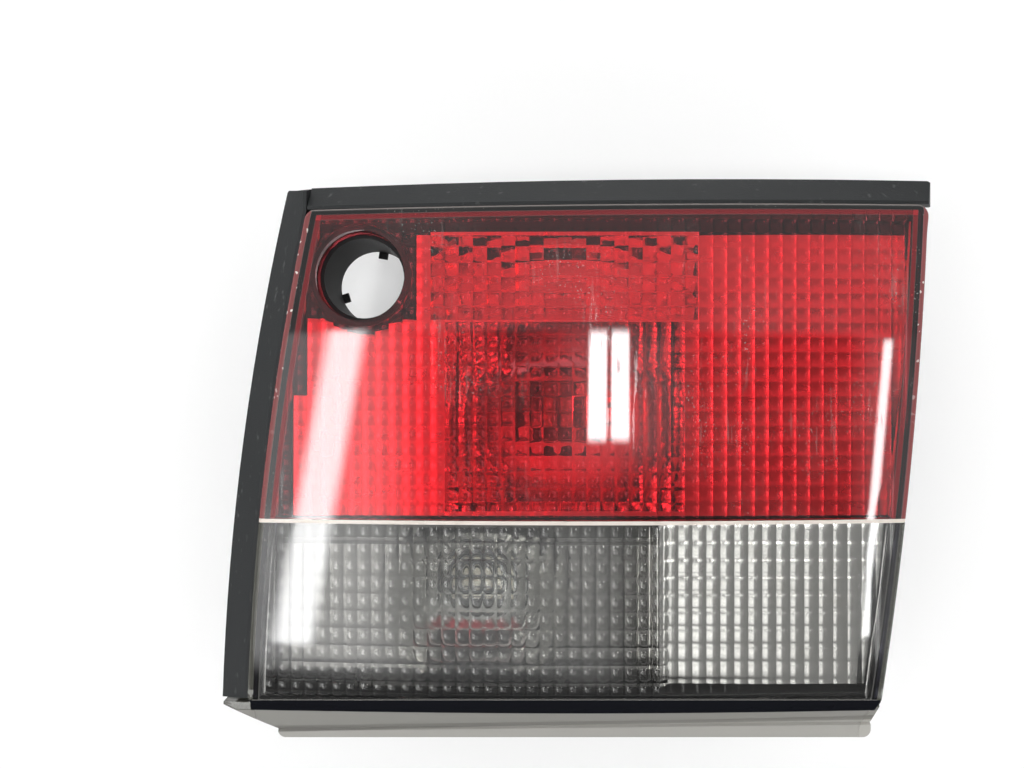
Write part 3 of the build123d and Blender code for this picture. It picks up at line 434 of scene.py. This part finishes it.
def acrylic(name, colour, wall, line, line_width, line_share, skirt):
    """Polished acrylic; its outside has the dark glued border, a painted highlight along the step inside it,
    painted shade, wear and dust.
    """
    made = Finish(name, Base_Color=colour, Roughness=0.02, Transmission_Weight=1.0, IOR=1.49)
    glue_out, glue_in, glue_low, sill_edge = 0.0024, 0.0046, 0.0034, -0.0019

    # Heights over the lamp's frame, and distances in from the lens's edges.
    x, y, z = made.axes()
    height = x * x / (2 * crown_radius) - y
    left = x - side_edge(z, *left_edge)
    right = side_edge(z, *right_edge) - x
    side = left.math("MINIMUM", right)
    high = 0.09212 + 0.0109 * x - z
    bow = 1 - 90.7 * x * x
    low = z + 0.092 - 0.0018 * bow
    sill = z + 0.092 - 0.0009 * bow
    groove = z + 0.1005 - 0.0227 * x

    def past(distance, start):
        return made.ease(distance, start - 0.0002, start + 0.0002)

    def strip(distance, start, end):
        return past(distance, start) * (1 - past(distance, end))

    # The polished face: clear, black where the sealant is squeezed against it, frosted on the skirt.
    outer = past(height, 0.0440)
    frost = 1 - past(sill, sill_edge)
    squeezed = past(side, 0.0010) * past(sill, sill_edge) * (1 - past(low, glue_low))
    dark = strip(side, glue_out, glue_in) + past(side, glue_out) * strip(high, -0.01, glue_out)
    dark = dark * past(height, 0.0426) + squeezed
    patch = made.ease(made.noise(30, 2), 0.45, 0.7)
    scratch = patch * made.ease(made.noise(900, 1, (1, 1, 0.06)), 0.64, 0.70)
    speck = patch * made.ease(made.noise(1500, 0), 0.74, 0.8)
    face = made.node("ShaderNodeBsdfPrincipled", {}, {
        "Base Color": made.blend(dark, colour, (0.003, 0.003, 0.006)),
        "Roughness": 0.02 + 0.12 * scratch + 0.5 * frost, "Transmission Weight": 1.0, "IOR": 1.49})

    # What lies on it: a painted highlight along the step inside the border, painted shade on the side walls,
    # a dust line with a painted highlight along the top edge, chips, dust, scratches, and the milky skirt
    # with painted shade on its slope and in its groove.
    # The step where the optics field begins, inside the border, gets a painted highlight in the line colour.
    painted_step_glint = strip(side, glue_in, glue_in + line_width) * past(high, glue_out) * past(low, glue_low)
    level_line = strip(high, glue_out, glue_out + line_width) + strip(low, glue_low, glue_low + 0.0004)
    painted_step_glint = painted_step_glint + past(side, glue_in) * level_line
    # The lens's side walls get a darker painted tint, the wall colour, as painted shade.
    flank = (1 - past(side, glue_out)) * past(height, 0.0414).math("MAXIMUM", 1 - past(low, 0.008))
    # Along the top edge: a pale line of dust with a painted highlight.
    dust_and_highlight_line = made.ease(high, 0.0004, 0.0010, 1.0, 0.0)
    chip = (1 - past(side, 0.0026)) * made.ease(made.noise(520, 0), 0.70, 0.74)
    chip = chip * made.ease(z, 0.0, 0.05) * made.ease(height, 0.036, 0.041)
    # The skirt is milky. Its slope is painted darker than its lip as painted shade, and its groove darker
    # still, with painted shade and dirt.
    milk_and_shade = made.blend(made.ease(groove, -0.001, 0.001), (0.43, 0.42, 0.39), (0.28, 0.275, 0.255))
    milk_and_shade = made.blend(0.7 * strip(groove, -0.0012, 0.0014), milk_and_shade, (0.15, 0.145, 0.13))
    tint = made.blend(flank, made.blend(painted_step_glint, (0.62, 0.60, 0.57), line), wall)
    tint = made.blend(dust_and_highlight_line, tint, (0.40, 0.35, 0.33))
    tint = made.blend(chip, tint, (0.72, 0.68, 0.64))
    tint = made.blend(frost, tint, milk_and_shade)
    film = made.node("ShaderNodeBsdfPrincipled", {}, {
        "Base Color": made.blend(squeezed, tint, (0.008, 0.0085, 0.011)),
        "Roughness": 0.5, "Specular IOR Level": 0.0})
    cover = outer * (0.004 + 0.016 * patch + 0.3 * speck + 0.08 * scratch + line_share * painted_step_glint)
    cover = cover + 0.5 * flank + 0.45 * dust_and_highlight_line + 0.5 * chip + skirt * frost + squeezed
    worn = made.node("ShaderNodeMixShader", {}, {0: cover, 1: face, 2: film})

    # The inside, with the pillows, stays plain polished acrylic.
    rim = 1 - past(side, 0.0052) * past(low, 0.0052) * past(high, 0.0034)
    body = Wire(made, made.shader.outputs[0])
    made.surface(made.node("ShaderNodeMixShader", {}, {0: outer.math("MAXIMUM", rim), 1: body, 2: worn}))
    return made


# The line colour is the painted highlight along the step inside each border, the wall colour the painted shade
# on the side walls.
acrylic("red_acrylic", (0.92, 0.125, 0.155), wall=(0.40, 0.12, 0.12), line=(0.50, 0.05, 0.06),
        line_width=0.0019, line_share=0.3, skirt=0.0).on("red_lens")
acrylic("clear_acrylic", (0.95, 0.95, 0.93), wall=(0.12, 0.12, 0.10), line=(0.40, 0.40, 0.38),
        line_width=0.0004, line_share=0.2, skirt=0.75).on("clear_lens")

# Divider: the pale bead left between the two shots of the lens moulding, which are joined
# along it from edge to edge.
pale_bead = Finish("pale_bead", IOR=1.49)
age = pale_bead.noise(140, 3)
pale_bead.set(Base_Color=pale_bead.blend(age, (0.62, 0.54, 0.47), (0.80, 0.74, 0.68)),
              Roughness=0.2 + 0.2 * age)
pale_bead.on("lens_divider")

# Trims: charcoal strips of grained plastic on the left and top flanks, clipped to the flange
# and scuffed along their edges; their corners are eased a little.
for name, node in (("left_trim", "side_trim"), ("upper_trim", "top_trim")):
    trim = moulded_copy(name, node)
    ease = trim.modifiers.new("ease", "BEVEL")
    ease.width, ease.segments, ease.limit_method, ease.angle_limit = 0.0004, 2, "ANGLE", radians(25)
    bpy.ops.object.modifier_apply(modifier="ease")
    smooth(trim, 35)

charcoal = Finish("charcoal_plastic", Specular_IOR_Level=0.3)
mottle = charcoal.noise(55, 5)
scuff = charcoal.ease(charcoal.noise(420, 4, (1, 1, 0.5)), 0.62, 0.8)
shade = charcoal.blend(mottle, (0.0085, 0.0098, 0.0107), (0.021, 0.0235, 0.0245))
charcoal.set(Base_Color=charcoal.blend(scuff * 0.5, shade, (0.13, 0.13, 0.13)), Roughness=0.42 + 0.25 * mottle)
charcoal.bump(charcoal.noise(1900, 3), 0.35, 0.0003)
charcoal.on("left_trim", "upper_trim")

# Table: the white table that the lamp lies on with its back, upright here because the lamp
# keeps its fitted frame. Seen from behind it lets the view through.
bpy.ops.object.select_all(action="DESELECT")
bpy.ops.mesh.primitive_plane_add(size=30, location=(0, cad_box[1].y + 0.0005, 0), rotation=(pi / 2, 0, 0))
table = bpy.context.object
table.name = "table"
table.visible_shadow = False
table.visible_diffuse = False
white = Finish("white_table", Base_Color=(0.97, 0.97, 0.97), Roughness=0.7)
rays = [white.node("ShaderNodeLightPath", {}, {}, kind)
        for kind in ("Is Camera Ray", "Is Glossy Ray", "Is Transmission Ray")]
glow = white.node("ShaderNodeEmission", {}, {"Color": (1, 1, 1), "Strength": 1.0})
diffuse = Wire(white, white.shader.outputs[0])
lit = white.node("ShaderNodeMixShader", {}, {0: (rays[0] + rays[1] + rays[2]) * 0.1, 1: diffuse, 2: glow})
behind = white.node("ShaderNodeNewGeometry", {}, {}, "Backfacing")
clear = white.node("ShaderNodeBsdfTransparent", {}, {})
white.surface(white.node("ShaderNodeMixShader", {}, {0: behind, 1: lit, 2: clear}))
white.on("table")

# Light: a plain bright room. The world is even all round, paler above, darker where the
# photographer stands, with the long ceiling panels that show as streaks on the lens. The
# panels are weaker for light that comes out of the lamp through the lens.
world = bpy.data.worlds.new("room")
bpy.context.scene.world = world
world.use_nodes = True


class Room(Finish):
    """The world's nodes, built in the same way as a finish."""

    def __init__(self, tree):
        self.tree = tree

    def band(self, value, low, high, soft):
        """1 between low and high, with soft edges."""
        return self.ease(value, low - soft, low + soft) * self.ease(value, high - soft, high + soft, 1.0, 0.0)


room = Room(world.node_tree)
way = room.node("ShaderNodeTexCoord", {}, {}, "Generated")
x, y, z = [room.node("ShaderNodeSeparateXYZ", {}, {0: way}, axis) for axis in range(3)]
ahead = 0 - y
side, rise = x / ahead, z / ahead
facing = ahead > 0.1
seen = room.node("ShaderNodeLightPath", {}, {}, "Is Camera Ray")
through = room.node("ShaderNodeLightPath", {}, {}, "Is Transmission Ray")

opposite = facing * room.band(side, -1.0, 2.5, 0.1) * room.band(rise, -1.0, 0.9, 0.1)
ceiling = opposite * room.ease(rise, 0.062, 0.074)
floor = opposite * room.ease(rise, -0.40, -0.36, 1.0, 0.0)
lower = opposite - ceiling
wall = lower - floor
bench = room.ease(rise, -0.20, -0.15, 1.0, 0.0) * room.ease(side, 0.1, 0.2, 1.0, 0.0)
spill = 2.7 * room.ease(side, -0.19, -0.36) + room.band(side, 0.66, 0.82, 0.05) * (1 - through)
spill = spill + room.band(side, 0.05, 0.27, 0.05) * room.band(rise, -0.10, 0.08, 0.04)
left_panel = room.band(side - 0.2755 * rise, -0.424, -0.348, 0.018)
left_panel = left_panel * room.band(rise, -0.348, 0.0695, 0.006)
right_panel = room.band(side - 0.142 * rise, 0.699, 0.716, 0.005)
right_panel = right_panel * room.band(rise, -0.354, 0.061, 0.006)
tubes = room.band(side, 0.093, 0.127, 0.004) + room.band(side, 0.138, 0.172, 0.004)
tubes = tubes * room.band(rise, -0.07, 0.066, 0.008)
level = 0.92 - 0.07 * ceiling - 0.685 * lower + wall * (1.5 * bench + spill)
level = level + facing * (18 * left_panel + 30 * tubes) * (1 - 0.72 * through)
level = level + facing * 24 * right_panel * (1 - through)
background = world.node_tree.nodes["Background"]
background.inputs["Color"].default_value = (1, 1, 1, 1)
room.feed(background.inputs["Strength"], level * (1 - seen) + seen)

# Camera: a phone held level with the lamp's face, about 290 mm in front of the lens,
# a little left of and above the middle of the stud pattern.
bpy.ops.object.select_all(action="DESELECT")
bpy.ops.object.camera_add(location=(-0.028, -0.333, 0.027), rotation=(pi / 2, 0, 0))
camera = bpy.context.object
camera.data.sensor_width = 36
camera.data.lens = 28.125
camera.data.clip_start = 0.01
bpy.context.scene.camera = camera
bpy.context.scene.view_settings.view_transform = "Standard"
